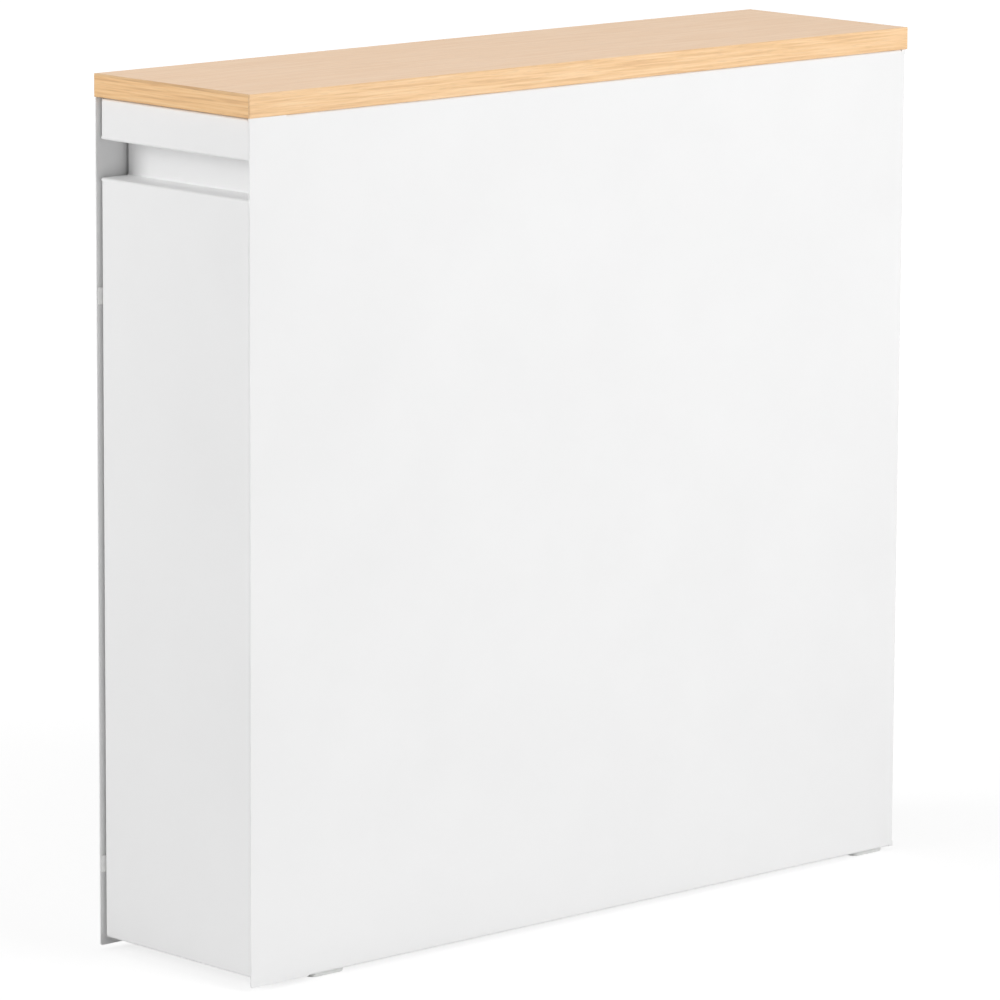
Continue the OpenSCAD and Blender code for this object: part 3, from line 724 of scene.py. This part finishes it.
def side_bars():
    """Flat bar with a tab folded in at each end. One is modelled and three are copied."""
    low, high = box("side_bar_right_upper")
    x = high.x - SHEET_T / 2
    tabs = low.y + SHEET_T / 2, high.y - SHEET_T / 2
    folds = tabs[0] + MID_R, tabs[1] - MID_R
    bar = blank("side_bar", (x, folds[0], low.z), (x, folds[1], high.z))
    for fold, tab in zip(folds, tabs):
        select(lambda p: close(p.y, fold) and close(p.x, x))
        fold_out((x, fold, 0), (x, tab, 0), (low.x, tab, 0))
    finish_sheet(bar)
    drop = shift(z=box("side_bar_right_lower")[0].z - low.z)
    lower = copy_of(bar, "lower", drop)
    left = copy_of(bar, "left", MIRROR_X)
    left_lower = copy_of(left, "left_lower", drop)
    dress_sheet(bar, "side_bar_right_upper")
    dress_sheet(lower, "side_bar_right_lower")
    dress_sheet(left, "side_bar_left_upper")
    dress_sheet(left_lower, "side_bar_left_lower")


# ---------------------------------------------------------------- Turned pieces and fasteners


def turned(name, rings, sides=32):
    """A solid of rings round the Z axis, each a radius and a level, with flat faces at both ends."""
    bpy.ops.object.select_all(action="DESELECT")
    radius, level = rings[0]
    bpy.ops.mesh.primitive_circle_add(
        vertices=sides, radius=radius * MM, fill_type="NGON", location=(0, 0, level * MM))
    piece = bpy.context.object
    piece.name = name
    bpy.ops.object.transform_apply()
    bpy.ops.object.mode_set(mode="EDIT")
    for next_radius, next_level in rings[1:]:
        extrude((0, 0, next_level - level))
        grow = next_radius / radius
        bpy.ops.transform.resize(value=(grow, grow, 1), center_override=(0, 0, next_level * MM))
        radius, level = next_radius, next_level
    face_outwards(piece)
    return piece


# Radius and height of every head, and radius of the shank in sheets and in wood
HEAD_R = 3.5
HEAD_H = 1.4
SHANK_R = 2
WOOD_SHANK_R = 1.75
# Profiles of a screw's and a rivet's head, from the top down to the sheet at level 0
PAN_HEAD = [
    (2.1, -HEAD_H), (2.75, -1.3), (3.15, -1.08), (3.4, -0.75), (HEAD_R, -0.35), (HEAD_R, -0.1),
    (HEAD_R - 0.1, 0)]
RIVET_HEAD = [
    (0.9, -0.85), (0.95, -0.95), (1.1, -0.95), (1.15, -1.3), (1.35, -HEAD_H), (2.4, -1.25), (3.1, -0.85),
    (3.45, -0.4), (HEAD_R, -0.15), (HEAD_R - 0.1, 0)]
THREAD_PITCH = 0.7
THREAD_DEPTH = 0.25
# Levels in one turn of the thread: its groove, and the two edges of its crest
GROOVE, CREST_LOW, CREST_HIGH = 0.2, 0.45, 0.55
# The thread stops this far before the tip or more. The tip's chamfer is this long, and takes this off
# the radius.
TIP_BARE = 0.5
TIP_LENGTH = 0.4
TIP_DEPTH = 0.6
# The cross recess: its arms' length and width at the mouth, its depth, and the arms' taper
RECESS_ARM = 3.5
RECESS_W = 0.8
RECESS_DEPTH = 0.95
RECESS_TAPER = (0.5, 0.75, 1)
# How far the cutter starts outside the head
CUTTER_PAST = 0.2


def threaded(radius, length):
    """Rings of a thread from level 0, ended by a chamfer."""
    rings = []
    for turn in range(int((length - TIP_BARE) / THREAD_PITCH)):
        at = turn * THREAD_PITCH
        rings += [
            (radius - THREAD_DEPTH, at + GROOVE), (radius, at + CREST_LOW), (radius, at + CREST_HIGH)]
    return rings + [(radius - THREAD_DEPTH, length - TIP_LENGTH), (radius - TIP_DEPTH, length)]


def cross_cutter():
    """The tapered cross that a driver's tip leaves."""
    arms = []
    start, end = -HEAD_H - CUTTER_PAST, RECESS_DEPTH - HEAD_H
    for turn in (0, math.pi / 2):
        arm = blank("arm", (-RECESS_ARM / 2, -RECESS_W / 2, start), (RECESS_ARM / 2, RECESS_W / 2, start))
        extrude((0, 0, end - start))
        bpy.ops.transform.resize(value=RECESS_TAPER, center_override=(0, 0, end * MM))
        face_outwards(arm)
        arm.data.transform(Matrix.Rotation(turn, 4, "Z"))
        arms.append(arm)
    only(arms[0])
    apply_modifier(arms[0], "BOOLEAN", operation="UNION", object=arms[1], solver="EXACT")
    bpy.data.objects.remove(arms[1])
    return arms[0]


def pan_head_screw(name, grip, radius=SHANK_R):
    """Pressed pan head with a cross recess, and a rolled thread as long as the grip."""
    screw = turned(name, [*PAN_HEAD, (radius, 0), *threaded(radius, grip)])
    cutter = cross_cutter()
    only(screw)
    apply_modifier(screw, "BOOLEAN", operation="DIFFERENCE", object=cutter, solver="EXACT")
    bpy.data.objects.remove(cutter)
    soften(screw, 0, sharp=32)
    return screw


def blind_rivet(name, grip):
    """Domed rivet with the broken end of its pin down in the middle."""
    rivet = turned(name, [*RIVET_HEAD, (SHANK_R, 0), (SHANK_R, grip)])
    soften(rivet, 0, sharp=32)
    return rivet


def turn_to(direction):
    """Turns +Z to direction."""
    return Vector(direction).to_track_quat("Z", "Y").to_matrix().to_4x4()


def set_fasteners(pattern, node, places, direction, mark=""):
    """Copies a fastener to each place, its shank in the direction."""
    for number, place in enumerate(places, 1):
        dress(copy_of(pattern, f"{node}_{mark}{number}", shift(*place) @ turn_to(direction)), node)


# How far a screw's tip comes through the sheets, and how deep it goes into the wooden top
SCREW_PAST = 1.2
WOOD_DEPTH = 10
# Thickness of a slide member
SLIDE_T = 1.2
# Place of a screw in the lip of a tray, as a share of the tray's height
LIP_SCREW_AT = 0.6


def end_places(group):
    """The two ends of a group of fasteners along Y or Z, at the middle of a head."""
    low, high = box(group)
    head = Vector([HEAD_R] * 3)
    return low + head, high - head


def both_sides(x, places):
    """The places, each a Y and a Z, on the left and on the right."""
    return [(side * x, y, z) for side in (-1, 1) for y, z in places]


def four_corners(group, z):
    """The front and rear ends of a group of fasteners on both sides, at the level z."""
    first, last = end_places(group)
    return both_sides(last.x, [(first.y, z), (last.y, z)])


def fasteners():
    """Every screw and rivet, copied from five patterns."""
    two_sheets = pan_head_screw("screw", 2 * SHEET_T + SCREW_PAST)
    three_sheets = pan_head_screw("long_screw", 3 * SHEET_T + SCREW_PAST)
    wood = pan_head_screw("wood_screw", 2 * SHEET_T + WOOD_DEPTH, WOOD_SHANK_R)
    short_wood = pan_head_screw("short_wood_screw", SHEET_T + WOOD_DEPTH, WOOD_SHANK_R)
    rivet = blind_rivet("rivet", SHEET_T + SLIDE_T)
    up, down, forward, back = (0, 0, 1), (0, 0, -1), (0, -1, 0), (0, 1, 0)

    set_fasteners(wood, "top_screws", four_corners("top_screws", PANEL_HIGH - 2 * SHEET_T), up)
    first, last = end_places("top_screws")
    between = [((first.y + last.y) / 2, PANEL_HIGH - SHEET_T)]
    set_fasteners(short_wood, "top_screws", both_sides(last.x, between), up, "middle_")
    first, last = end_places("back_screws")
    up_the_back = [(CASING_BACK, z) for z in (first.z, (first.z + last.z) / 2, last.z)]
    set_fasteners(two_sheets, "back_screws", both_sides(last.x, up_the_back), forward)
    set_fasteners(two_sheets, "base_screws", four_corners("base_screws", PANEL_LOW), up)
    # The rivets in the tray stand over those in the base
    base_z, tray_z = box("base_plate")[0].z, box("lower_tray")[0].z + SHEET_T
    set_fasteners(rivet, "slide_base_rivets", four_corners("slide_base_rivets", base_z), up)
    set_fasteners(rivet, "slide_tray_rivets", four_corners("slide_base_rivets", tray_z), down)

    # The frame's screws are at the middles of the side bars and in the lips of the trays
    frame_z = [middle(node).z for node in ("side_bar_left_lower", "side_bar_left_upper")]
    for node in ("lower_tray", "middle_shelf"):
        low, high = box(node)
        frame_z.append(low.z + LIP_SCREW_AT * (high.z - low.z))
    screw_x = end_places("frame_screws_front")[1].x
    in_front = [(FRONT_BACK + 2 * SHEET_T, z) for z in frame_z]
    behind = [(box("rear_plate")[1].y - 2 * SHEET_T, z) for z in frame_z]
    set_fasteners(three_sheets, "frame_screws_front", both_sides(screw_x, in_front), forward)
    set_fasteners(two_sheets, "frame_screws_rear", both_sides(screw_x, behind), back)
    for pattern in (two_sheets, three_sheets, wood, short_wood, rivet):
        bpy.data.objects.remove(pattern)


# Rounding of the foot's upright corners, and of its lower edges
FOOT_CORNER_R = 4
FOOT_CORNER_STEPS = 8
FOOT_EDGE = 0.5
FOOT_EDGE_STEPS = 3
# Width of the rim that the foot stands on
FOOT_RIM = 2.2
# Radii of the foot's stem and of its barb
STEM_R = 2.4
BARB_R = 3.3
# A bumper's profile: dome, side, and the stem that goes through the rear plate from level 0
BUMPER = [
    (2, 3.7), (3.4, 3.6), (4.3, 3.2), (4.8, 2.6), (5, 1.8), (5, 0.3), (4.8, 0), (2.4, 0), (2.4, -1.7),
    (2.1, -2)]
# Sides of a turned rubber piece
RUBBER_SIDES = 40


def feet():
    """Rubber pad that stands on its rim, with a barbed stem that holds it in the sheet."""
    low, high = box("foot_front_right")
    half = (high - low) / 2
    pad = slab("foot", (-half.x, -half.y, 0), (half.x, half.y, PANEL_LOW))
    bevel_edges(pad, lambda a, b: not close(a.z, b.z), FOOT_CORNER_R, FOOT_CORNER_STEPS)
    bevel_edges(pad, lambda a, b: close(a.z, 0) and close(b.z, 0), FOOT_EDGE, FOOT_EDGE_STEPS)
    bpy.ops.object.mode_set(mode="EDIT")
    select(lambda p: close(p.z, 0), "faces")
    bpy.ops.mesh.inset(thickness=FOOT_RIM * MM)
    bpy.ops.mesh.inset(thickness=FOOT_EDGE * MM)
    bpy.ops.transform.translate(value=(0, 0, FOOT_EDGE * MM))
    bpy.ops.object.mode_set(mode="OBJECT")
    seat = PANEL_LOW + 2 * SHEET_T
    stem = turned("stem", [
        (STEM_R, PANEL_LOW - 1), (STEM_R, seat + 0.05), (BARB_R, seat + 0.1), (BARB_R, seat + 0.3),
        (STEM_R - 0.3, high.z - 0.15), (STEM_R - 0.7, high.z)], RUBBER_SIDES)
    only(pad)
    apply_modifier(pad, "BOOLEAN", operation="UNION", object=stem, solver="EXACT")
    bpy.data.objects.remove(stem)
    soften(pad, 0, sharp=40)
    for node in ("foot_front_left", "foot_front_right", "foot_rear_left", "foot_rear_right"):
        dress(copy_of(pad, node + "_rubber", shift(middle(node).x, middle(node).y)), node)
    bpy.data.objects.remove(pad)


def bumpers():
    """Rubber stop with a domed end, held by its stem."""
    bumper = turned("bumper", BUMPER, RUBBER_SIDES)
    soften(bumper, 0, sharp=40)
    for node in ("rear_bumper_upper", "rear_bumper_lower"):
        place = shift(0, box("rear_plate")[1].y, middle(node).z) @ turn_to((0, 1, 0))
        dress(copy_of(bumper, node + "_rubber", place), node)
    bpy.data.objects.remove(bumper)


# Length of the taper at a guide strip's front end, and how much it takes off the thickness
LEAD_IN = 1.5
LEAD_IN_DEPTH = 0.6
# Rounding of its edges
STRIP_EDGE = 0.3
STRIP_EDGE_STEPS = 3


def guide_strips():
    """Nylon strip with softened edges. Its front end is thinned, so that the pull-out runs onto it."""
    low, high = box("guide_strip_right_upper")
    strip = slab("guide_strip", low, high)
    bpy.ops.object.mode_set(mode="EDIT")
    score((1, low.y + LEAD_IN))
    select(lambda p: close(p.y, low.y) and close(p.x, low.x))
    bpy.ops.transform.translate(value=(LEAD_IN_DEPTH * MM, 0, 0))
    bpy.ops.object.mode_set(mode="OBJECT")
    for side in ("right", "left"):
        for level in ("upper", "lower"):
            node = f"guide_strip_{side}_{level}"
            drop = shift(z=box(node)[0].z - low.z)
            piece = copy_of(strip, node + "_nylon", drop @ MIRROR_X if side == "left" else drop)
            soften(piece, STRIP_EDGE, STRIP_EDGE_STEPS, sharp=60)
            dress(piece, node)
    bpy.data.objects.remove(strip)


# ---------------------------------------------------------------- Carried-over solids


def finish_cad_nodes():
    """Gives every solid of the frame the finish of its slot in the record."""
    for node, slot in NODE_SLOT.items():
        paint(frame["nodes"][node], slot)


# ---------------------------------------------------------------- Stage

FLOOR_HALF = 12
# Grey of the floor for the light that it throws back, and for the camera
FLOOR_BOUNCE = 0.85
FLOOR_SHOWN = 0.3
# The floor's own glow for the camera, and the distances from the cabinet between which it grows
GLOW_NEAR, GLOW_FAR = 0.78, 1.0
GLOW_FROM, GLOW_TO = 0.3, 1.6
WHITE = (1, 1, 1, 1)


def seen(tree):
    """1 where floor or sky is seen, straight or in a shiny piece, and 0 where it only lights the pieces."""
    sight = add(tree, "ShaderNodeLightPath")
    either = add(tree, "ShaderNodeMath", {
        0: sight.outputs["Is Camera Ray"], 1: sight.outputs["Is Glossy Ray"]}, operation="MAXIMUM")
    return either.outputs[0]


def white_floor():
    """Pale floor with the cabinet's shadow on it. What is seen of it turns full white away from there."""
    material, tree, shader = new_material("white_floor")
    tree.nodes.remove(shader)
    place = add(tree, "ShaderNodeTexCoord").outputs["Object"]
    away = add(tree, "ShaderNodeVectorMath", {0: place}, operation="LENGTH")
    glow = add(tree, "ShaderNodeMapRange", {
        "Value": away.outputs["Value"], "From Min": GLOW_FROM, "From Max": GLOW_TO,
        "To Min": GLOW_NEAR, "To Max": GLOW_FAR})
    bounce = add(tree, "ShaderNodeBsdfDiffuse", {"Color": (*[FLOOR_BOUNCE] * 3, 1)})
    matte = add(tree, "ShaderNodeBsdfDiffuse", {"Color": (*[FLOOR_SHOWN] * 3, 1)})
    paper = add(tree, "ShaderNodeEmission", {"Color": WHITE, "Strength": glow.outputs["Result"]})
    shown = add(tree, "ShaderNodeAddShader", {0: matte.outputs[0], 1: paper.outputs[0]})
    mix = add(tree, "ShaderNodeMixShader", {0: seen(tree), 1: bounce.outputs[0], 2: shown.outputs[0]})
    feed(tree, tree.nodes["Material Output"], {"Surface": mix.outputs[0]})
    return material


def make_stage():
    """The floor, which is no piece of the cabinet."""
    bpy.ops.object.select_all(action="DESELECT")
    bpy.ops.mesh.primitive_plane_add(size=2 * FLOOR_HALF)
    floor = bpy.context.object
    floor.name = "floor"
    floor.data.materials.append(white_floor())


def soft_light(name, place, target, size, power):
    """A square softbox at place that faces target."""
    bpy.ops.object.select_all(action="DESELECT")
    bpy.ops.object.light_add(type="AREA", location=place)
    lamp = bpy.context.object
    lamp.name = name
    lamp.data.shape = "SQUARE"
    lamp.data.size = size
    lamp.data.energy = power
    lamp.rotation_mode = "QUATERNION"
    lamp.rotation_quaternion = (Vector(place) - Vector(target)).to_track_quat("Z", "Y")


# Softboxes: place, side length and power in watts. All face the middle of the cabinet.
SOFTBOXES = {
    "front_softbox": ((-1.2, -2.3, 1.0), 1.4, 19.2),
    "high_front_softbox": ((-0.8, -2.0, 1.5), 1.4, 12.9),
    "right_softbox": ((2.4, 0.6, 1.25), 1.4, 41.1),
    "top_softbox": ((0, 0.1, 2.0), 1.2, 7.2),
}
AIM = (0, 0, 0.25)
# Strength of the white sky for the light on the pieces. Where it is seen, it is full white.
SKY_LIGHT = 0.2


def make_lights():
    """The softboxes and a white sky."""
    for name, (place, size, power) in SOFTBOXES.items():
        soft_light(name, place, AIM, size, power)
    world = bpy.data.worlds.new("studio")
    bpy.context.scene.world = world
    world.use_nodes = True
    tree = world.node_tree
    strength = add(tree, "ShaderNodeMapRange", {"Value": seen(tree), "To Min": SKY_LIGHT, "To Max": 1.0})
    feed(tree, tree.nodes["Background"], {"Color": WHITE, "Strength": strength.outputs["Result"]})


# ---------------------------------------------------------------- The scene

make_camera()
finish_cad_nodes()
side_panels()
flat_plate("back_panel")
base_plate()
crossbars()
wooden_top()
front_panel()
flat_plate("front_backing_plate")
tray("lower_tray")
tray("middle_shelf")
rear_plate()
side_bars()
guide_strips()
feet()
bumpers()
fasteners()
make_stage()
make_lights()

bpy.context.scene.view_settings.view_transform = "Standard"
